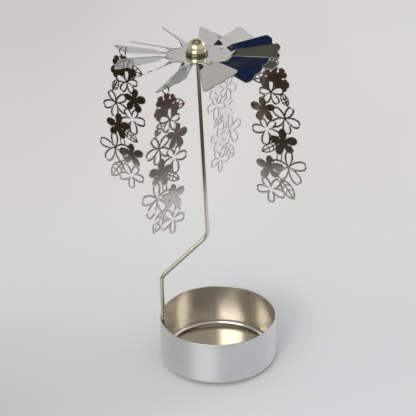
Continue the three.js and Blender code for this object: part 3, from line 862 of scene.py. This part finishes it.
def petal_cut(centre, full, bearing, size, root, line, notch):
    """The cut-out of a petal, one line's width inside its outline, which is at three quarters of the
    sides."""
    side, tip = full * size - line / 0.75, size - line
    belly = PETAL_BELLY * tip
    point = lambda x, y: petal_point(centre, bearing, x, y)
    return np.concatenate([
        bezier(point(0, root), point(-side, belly), point(-side, tip), point(-notch / 2, tip)),
        [point(-notch / 2, tip), point(0, tip - notch)],
        bezier(point(notch / 2, tip), point(side, tip), point(side, belly), point(0, root))])


def bar(start, end, width):
    """A straight bar of a width from start to end."""
    off = np.array([start[1] - end[1], end[0] - start[0]]) * width / 2 / np.linalg.norm(end - start)
    return np.array([start + off, end + off, end - off, start - off])


def leaf_outlines(root, tip, half, line):
    """A leaf of two cubics from root to tip, the cut-outs on both sides of its middle rib, and two bars a
    side that run from the rib to just inside the edge, which at a share a of the length is 4a(1 - a) of the
    half width out."""
    axis = (tip - root) / np.linalg.norm(tip - root)
    off = np.array([-axis[1], axis[0]])
    point = lambda along, x: root + (tip - root) * along + off * x
    fullness, cut_start = 1.33, 0.16
    vein_starts, vein_length, vein_reach, vein_width = (0.27, 0.5), 0.16, 3.8, line * 0.75
    bulge = half * fullness
    blade = np.concatenate([bezier(root, point(0.25, bulge), point(0.75, bulge), tip),
                            bezier(tip, point(0.75, -bulge), point(0.25, -bulge), root)])
    cuts, veins = [], []
    for way in (1, -1):
        rib, belly = way * line / 2, way * (half - line) * fullness
        ends = point(cut_start, rib), point(1 - cut_start, rib)
        cuts.append(np.concatenate([bezier(ends[0], point(0.33, belly), point(0.67, belly), ends[1]),
                                    ends[1][None]]))
        for start in vein_starts:
            end = start + vein_length
            reach = way * vein_reach * end * (1 - end) * half
            veins.append(bar(point(start, 0), point(end, reach), vein_width))
    return blade, cuts, veins


def hook_outline(sizes):
    """A leg that drops through the blade's hole, the bow over the strip, whose middle lies a little under the
    joint, and the neck below it."""
    middle, half = sizes.hook / MM, sizes.hook_width / MM / 2
    inner, outer = middle - half, middle + half
    sink, leg, neck, wide = 0.55, 0.8, 1.3, 0.5
    return np.concatenate([
        [[-inner, -sink - leg]], arc(0, -sink, inner, 180, -90, 24), [[-wide, -sink - outer - neck]],
        [[wide, -sink - outer - neck]], arc(0, -sink, outer, -60, 180, 24),
        arc(-middle, -sink - leg, half, 180, 360, 8)])


def signed_distance(px, py, outline):
    """Distance to a closed outline, negative inside: the least distance to any of its edges, with the sign
    of how often a ray to the right crosses them."""
    a, b = outline, np.roll(outline, -1, axis=0)
    edge = b - a
    qx, qy = px[..., None] - a[:, 0], py[..., None] - a[:, 1]
    t = np.clip((qx * edge[:, 0] + qy * edge[:, 1]) / np.maximum((edge ** 2).sum(axis=1), 1e-12), 0, 1)
    gap = np.sqrt(((qx - t * edge[:, 0]) ** 2 + (qy - t * edge[:, 1]) ** 2).min(axis=-1))
    slope = edge[:, 0] / np.where(edge[:, 1] == 0, 1, edge[:, 1])
    crossed = ((a[:, 1] > py[..., None]) != (b[:, 1] > py[..., None])) & (qx < qy * slope)
    return np.where(crossed.sum(axis=-1) % 2 == 1, -gap, gap)


def pendant_field(sizes):
    """The pendant as a distance on a grid, negative in the metal. Each blank takes the lesser of what is
    there and its own distance, and each of its cut-outs the greater of what is there and its distance
    turned round: first the hook, then the leaves and twigs, then the blossoms from the hook down. Plates
    have no notches, apart from the first."""
    drop, petal, line, step = (v / MM for v in (sizes.drop, sizes.petal, sizes.line, sizes.step))
    half_width, lowest, highest = 12.2, -52.6, 1.7
    far, margin, stalk, twig_width = 5.0, 0.9, 0.55, line * 0.8
    xs, ys = np.arange(-half_width, half_width, step), np.arange(lowest, highest, step)
    field = np.full((len(ys), len(xs)), far)

    def work(outline, cut):
        low, high = outline.min(axis=0) - margin, outline.max(axis=0) + margin
        window = np.ix_((ys > low[1]) & (ys < high[1]), (xs > low[0]) & (xs < high[0]))
        px, py = np.meshgrid(xs[(xs > low[0]) & (xs < high[0])], ys[(ys > low[1]) & (ys < high[1])])
        distance = signed_distance(px, py, outline)
        field[window] = np.maximum(field[window], -distance) if cut else np.minimum(field[window], distance)

    work(hook_outline(sizes), False)
    for root, tip, half in LEAF_SHARES:
        blade, cuts, veins = leaf_outlines(np.array(root) * drop, np.array(tip) * drop, half * drop, line)
        work(blade, False)
        for cut in cuts:
            work(cut, True)
        for vein in veins:
            work(vein, False)
    for start, end in TWIG_SHARES:
        work(bar(np.array(start) * drop, np.array(end) * drop, twig_width), False)
    for kind, centre, full, valley, petals in BLOSSOM_SHARES:
        centre, petals = np.array(centre) * drop, [(bearing, size * petal) for bearing, size in petals]
        dent = 0 if kind == "plate" and valley < 0.5 else sizes.notch / MM
        work(blossom_outline(centre, full, valley, petals, dent), False)
        if kind != "plate":
            for bearing, size in petals:
                root = 0 if kind == "ring" else stalk
                work(petal_cut(centre, full, bearing, size, root, line, dent), True)
        if kind == "ring":
            work(arc(*centre, sizes.eye / MM, 0, 360, 24)[:-1], True)
    return xs, ys, field


def crossing(first, second):
    """Where a side is crossed, as a share of it: the place where values at its two ends fall to zero between
    them, kept off the ends."""
    near = 0.06
    return np.clip(first / (first - second + 1e-12), near, 1 - near)


def pendant_surface(sizes):
    """Both faces of the sheet over the cells of the grid where the field is negative. A cell that the outline
    crosses keeps its corners in the metal and gets a point on each crossed side. Height is half the sheet
    times the quarter circle of the depth over the edge's radius, so the two faces meet on the outline. The
    third result is the share of the edge's radius that a point lies inside."""
    xs, ys, field = pendant_field(sizes)
    count, step = field.size, xs[1] - xs[0]
    index = np.arange(count).reshape(field.shape)
    grid = np.stack(np.meshgrid(xs, ys), axis=-1)
    on_rows, on_columns = grid.copy(), grid.copy()
    on_rows[:, :-1, 0] += crossing(field[:, :-1], field[:, 1:]) * step
    on_columns[:-1, :, 1] += crossing(field[:-1], field[1:]) * step
    depth = np.clip(-field / (sizes.edge / MM), 0, 1)
    raised = sizes.sheet / MM / 2 * np.sqrt(1 - (1 - depth) ** 2)
    nodes, inside = cell_corners(index), cell_corners(field < 0)
    lines = [nodes[0] + count, nodes[1] + 2 * count, nodes[3] + count, nodes[0] + 2 * count]
    corners = []
    for k in range(4):
        crossed = inside[k] != inside[(k + 1) % 4]
        corners += [np.where(inside[k], nodes[k], -1), np.where(crossed, lines[k], -1)]
    corners = np.stack(corners, axis=-1).reshape(-1, 8)
    corners = corners[(corners >= 0).any(axis=1)]
    for _ in range(7):
        corners = np.where(corners < 0, np.roll(corners, 1, axis=1), corners)
    flat = np.concatenate([part.reshape(-1, 2) for part in (grid, on_rows, on_columns)])
    height, inner = (np.concatenate([part.reshape(-1), np.zeros(2 * count)]) for part in (raised, depth))
    points = np.concatenate([np.column_stack([flat, height]), np.column_stack([flat, -height])])
    faces = np.concatenate([corners, corners[:, ::-1] + 3 * count])
    used, faces = np.unique(faces, return_inverse=True)
    return points[used], faces.reshape(-1, 8), np.concatenate([inner, inner])[used]


def hung(points, joint, bow, drop):
    """Pendant points put where their joint is: x outwards, square to the joint's axis, y up, and the sheet's
    own thickness along the axis. The sheet is bowed along its drop by half a sine, which begins below the
    hook."""
    axis = np.array(joint["axis"])
    outward = np.array([-axis[1], axis[0], 0])
    x, y, z = points.T
    z = z + bow * np.sin(y / drop * math.pi) * smooth(-y, 2, 8)
    return np.array(joint["pos_m"]) / MM + np.outer(x, outward) + np.outer(z, axis) + np.outer(y, (0, 0, 1))


# Operators

class CandlestickOperator:
    """What all the operators share. Each makes its pieces from the scene's settings."""

    bl_options = {"REGISTER", "UNDO"}

    def execute(self, context):
        self.make(context.scene)
        return {"FINISHED"}


class CANDLESTICK_OT_cup(CandlestickOperator, bpy.types.Operator):
    """Draw the cup with its strap"""

    bl_idname = "candlestick.cup"
    bl_label = "Cup"

    def make(self, scene):
        cup, stem = scene.candlestick_cup, scene.candlestick_stem
        points, faces = gathered(cup_surface(cup, stem), strap_surface(cup, stem))
        piece = put_mesh("cup", points, faces, drawn_steel(scene.candlestick_finish, cup), crease=30)
        seat(piece, "base", "cup_steel", "candle_cup")


class CANDLESTICK_OT_stem(CandlestickOperator, bpy.types.Operator):
    """Bend the wire that carries the fan"""

    bl_idname = "candlestick.stem"
    bl_label = "Stem"

    def make(self, scene):
        surface = stem_surface(scene.candlestick_cup, scene.candlestick_stem, scene.candlestick_fan)
        piece = put_mesh("stem", *surface, nickel_wire(scene.candlestick_finish))
        seat(piece, "base", "plated_wire", "stem_wire")


class CANDLESTICK_OT_fan(CandlestickOperator, bpy.types.Operator):
    """Stamp and twist the fan"""

    bl_idname = "candlestick.fan"
    bl_label = "Fan"

    def make(self, scene):
        sizes = scene.candlestick_fan
        points, faces, face = fan_surface(sizes)
        piece = put_mesh("fan", points, faces, mirror_sheet(scene.candlestick_finish), {"edge": face},
                         closed=False)
        sheet = piece.modifiers.new("sheet", "SOLIDIFY")
        sheet.thickness, sheet.offset, sheet.use_even_offset = sizes.sheet, 0, True
        edge = piece.modifiers.new("edge", "BEVEL")
        edge.width, edge.segments, edge.limit_method = sizes.edge, 2, "ANGLE"
        edge.angle_limit = math.radians(50)
        seat(piece, "rotor", "mirror_sheet", "fan_rotor")


class CANDLESTICK_OT_cap(CandlestickOperator, bpy.types.Operator):
    """Turn the pivot cap and the collar that clamps the hub on it"""

    bl_idname = "candlestick.cap"
    bl_label = "Cap and Collar"

    def make(self, scene):
        sizes, colours = scene.candlestick_fan, scene.candlestick_finish
        # The collar's colour is painted shade over the cap's polish
        cap, collar = polished("polished_cap", colours.cap), polished("polished_collar_painted_shade", colours.collar)
        seat(put_mesh("cap", *cap_surface(sizes), cap, crease=50), "rotor", "polished_cap", "pivot_cap")
        seat(put_mesh("collar", *collar_surface(sizes), collar, crease=50), "rotor", "polished_cap",
             "cap_collar")


class CANDLESTICK_OT_pendants(CandlestickOperator, bpy.types.Operator):
    """Cut one blossom pendant and hang it in four blades"""

    bl_idname = "candlestick.pendants"
    bl_label = "Pendants"

    def make(self, scene):
        sizes = scene.candlestick_pendant
        points, faces, inner = pendant_surface(sizes)
        finish = etched_sheet(scene.candlestick_finish)
        bodies = frame["record"]["behaviour"]["bodies"]
        for joint, bow in zip(SWINGS, BOWS):
            name = joint["child"]
            placed = hung(points, joint, bow, sizes.drop / MM)
            piece = put_mesh(name + "_sheet", placed, faces, finish, {"edge": inner})
            seat(piece, name, "etched_sheet", *bodies[name])


# Stage

def floor_surface(reach):
    """A disc of rings whose radius grows with the square of the ring's share of the reach."""
    count = 25
    rings = reach * np.linspace(0, 1, count) ** 2
    return revolve(np.column_stack([rings, 0 * rings]), round_steps(FLOOR_STEPS))


def floor_finish(colours):
    """Matt pale board, as pale as the backdrop far off. Behind the object it is lighter and warmer, painted
    light that lifts the shadow there, and on the left it is darker, painted shade.
    """

    def shader(finish):
        here = finish.place()
        x, y, _ = finish.parts(here)
        distance = finish.around(here)
        # Painted shade on the left of the floor and painted light behind the object
        left = x.between(0.03, -0.10) * y.between(0.12, -0.06)
        near = finish.blend(left, colours.floor_near, colours.floor_left_shade)
        far = finish.blend(x.between(0.02, -0.11), colours.floor_far, colours.floor_far_left_shade)
        shade = finish.blend(y.between(-0.03, 0.20), near, far)
        shade = finish.blend(distance.between(0.7, 2.5), shade, colours.floor_horizon)
        cloud = finish.noise(here, 9.0, 2.0) * 0.12 * distance.between(2.5, 0.7)
        mottled = finish.blend(cloud, shade, (0.66, 0.66, 0.66))
        return finish.out("BsdfPrincipled", sockets={"Base Color": mottled, "Roughness": 0.8,
                                                     "Specular IOR Level": 0.2})

    return painted("pale_board", shader)


def cloth_finish(colours):
    """What lies on the table round the object, seen in the metal alone: dark cloth on the left, a dark apron
    in front, shade and then red cloth on the right, glare behind that, and clear near the object."""

    def shader(finish):
        here = finish.place()
        x, y, _ = finish.parts(here)
        left, right = (x + 0.8 * y).between(-0.220, -0.236), x.between(0.159, 0.172)
        front, behind = y.between(0.05, 0.01), x.between(0.08, 0.12) * y.between(0.01, 0.05)
        near = 0.35 * x.between(0.0, -0.03) * y.between(-0.068, -0.085)
        apron = y.between(-0.15, -0.19)
        beyond = finish.blend(x.between(0.255, 0.268), colours.shade, colours.cloth_right)
        side = finish.blend(apron, finish.blend(left + near, beyond, colours.cloth), colours.apron)
        shade = finish.blend(behind, side, colours.glare)
        covered = (left + near + right + apron) * front + behind
        lit = finish.out("Emission", sockets={"Color": shade})
        return finish.out("MixShader", sockets={0: covered, 1: finish.out("BsdfTransparent"), 2: lit})

    return painted("dark_cloth", shader)


def studio_world(colours):
    """The background that the camera sees, an even soft light, and what the metal sees of wall and ceiling
    along a ray whose direction is x, y, z: haze low down, then a beam, the ceiling and its panels."""
    world = bpy.data.worlds.new("studio")
    bpy.context.scene.world = world
    world.use_nodes = True
    finish = Finish(world.node_tree)
    way = finish.out("TexCoord", output="Generated")
    x, y, z = finish.parts(way)
    streaks = finish.noise(finish.scaled(way, (9.0, 2.0, 5.0)), 1.0, 2.0, 0.5, 0.4)
    olive = x.between(0.09, -0.03) * z.between(0.83, 0.88)
    dark = finish.blend(olive + 0.15 * streaks.between(0.5, 0.66), colours.ceiling, colours.panel)
    dark = finish.blend(z.between(0.93, 0.96), dark, colours.zenith)
    low = finish.blend(z.between(0.735, 0.76), colours.beam, dark)
    over = finish.blend(y.between(0.02, -0.22), low, colours.front)
    haze = finish.blend(x.between(-0.08, -0.33), colours.haze, colours.haze_left)
    seen_there = finish.blend(z.between(0.69, 0.72), haze, over)
    glossy = finish.out("LightPath", output="Is Glossy Ray")
    camera = finish.out("LightPath", output="Is Camera Ray")
    lit = finish.blend(glossy, (colours.soft_light,) * 3, seen_there)
    shade = finish.blend(camera, lit, colours.backdrop)
    finish.node("OutputWorld", sockets={"Surface": finish.out("Background", sockets={"Color": shade})})


def lamp(name, bearing, rise, width, height, power, tint):
    """An area lamp turned to the object, at a bearing in degrees from +Y towards +X and a rise in degrees
    above the table. Width and height are in metres, and the power in watts."""
    data = bpy.data.lights.new(name, "AREA")
    data.shape, data.energy, data.color = "RECTANGLE", power, tint
    data.size, data.size_y = width, height
    source = bpy.data.objects.new(name, data)
    turn, lift = math.radians(bearing), math.radians(rise)
    way = np.array([math.sin(turn) * math.cos(lift), math.cos(turn) * math.cos(lift), math.sin(lift)])
    source.matrix_world = Matrix.Translation(way * LAMP_DISTANCE) @ facing(-way)
    source.visible_camera = False
    bpy.context.scene.collection.objects.link(source)
    return source


def facing(way):
    """The turn that points -Z along a direction, with Y as near up as it can be."""
    back = -np.asarray(way, float) / np.linalg.norm(way)
    right = np.cross((0, 0, 1), back)
    right = right / np.linalg.norm(right)
    return Matrix(np.column_stack([right, np.cross(back, right), back]).tolist()).to_4x4()


def set_camera():
    """The camera at its place, pointed its way and rolled."""
    data = bpy.data.cameras.new("camera")
    data.sensor_width, data.lens = SENSOR_WIDTH, SENSOR_WIDTH * FOCAL_PIXELS / PHOTO_WIDTH
    data.clip_start, data.clip_end = 0.01, 50
    camera = bpy.data.objects.new("camera", data)
    roll = Matrix.Rotation(math.radians(CAMERA_ROLL), 4, "Z")
    camera.matrix_world = Matrix.Translation(CAMERA_PLACE) @ facing(CAMERA_FORWARD) @ roll
    bpy.context.scene.collection.objects.link(camera)
    bpy.context.scene.camera = camera


class CANDLESTICK_OT_stage(CandlestickOperator, bpy.types.Operator):
    """Lay the floor and set lamps, background and camera"""

    bl_idname = "candlestick.stage"
    bl_label = "Stage"

    def make(self, scene):
        colours = scene.candlestick_stage
        floor = put_mesh("floor", *floor_surface(FLOOR_REACH), floor_finish(colours), closed=False)
        points, faces = floor_surface(CLOTH_REACH)
        cloth = put_mesh("cloth", points + (0, 0, CLOTH_HEIGHT), faces, cloth_finish(colours), closed=False)
        cloth.visible_camera = cloth.visible_diffuse = cloth.visible_shadow = False
        studio_world(colours)
        lamp("key", 211, 30, 0.80, 0.42, colours.key_light, WARM)
        lamp("small", 205, 27, 0.2, 0.2, colours.small_light, WARM).visible_glossy = False
        lamp("side", 68, 30, 0.5, 0.3, colours.side_light, WARMER)
        set_camera()
        scene.view_settings.view_transform = "Standard"


class CANDLESTICK_PT_panel(bpy.types.Panel):
    """The pieces of the candlestick and their sizes"""

    bl_label = "Candlestick"
    bl_idname = "CANDLESTICK_PT_panel"
    bl_space_type = "VIEW_3D"
    bl_region_type = "UI"
    bl_category = "Candlestick"

    def draw(self, context):
        for operator in OPERATORS:
            self.layout.operator(operator.bl_idname)
        for group in GROUPS:
            box = self.layout.box()
            settings = getattr(context.scene, group)
            for name in settings.bl_rna.properties.keys():
                if name not in ("rna_type", "name"):
                    box.prop(settings, name)


OPERATORS = (CANDLESTICK_OT_cup, CANDLESTICK_OT_stem, CANDLESTICK_OT_fan, CANDLESTICK_OT_cap,
             CANDLESTICK_OT_pendants, CANDLESTICK_OT_stage)
GROUPS = {"candlestick_cup": CupSizes, "candlestick_stem": StemSizes, "candlestick_fan": FanSizes,
          "candlestick_pendant": PendantSizes, "candlestick_finish": FinishColours,
          "candlestick_stage": StageColours}


def register():
    for group in GROUPS.values():
        bpy.utils.register_class(group)
    for name, group in GROUPS.items():
        setattr(bpy.types.Scene, name, PointerProperty(type=group))
    for operator in OPERATORS:
        bpy.utils.register_class(operator)
    bpy.utils.register_class(CANDLESTICK_PT_panel)


def unregister():
    bpy.utils.unregister_class(CANDLESTICK_PT_panel)
    for operator in reversed(OPERATORS):
        bpy.utils.unregister_class(operator)
    for name in GROUPS:
        delattr(bpy.types.Scene, name)
    for group in reversed(GROUPS.values()):
        bpy.utils.unregister_class(group)


def main():
    register()
    bpy.ops.candlestick.cup()
    bpy.ops.candlestick.stem()
    bpy.ops.candlestick.fan()
    bpy.ops.candlestick.cap()
    bpy.ops.candlestick.pendants()
    bpy.ops.candlestick.stage()


if __name__ == "__main__":
    main()
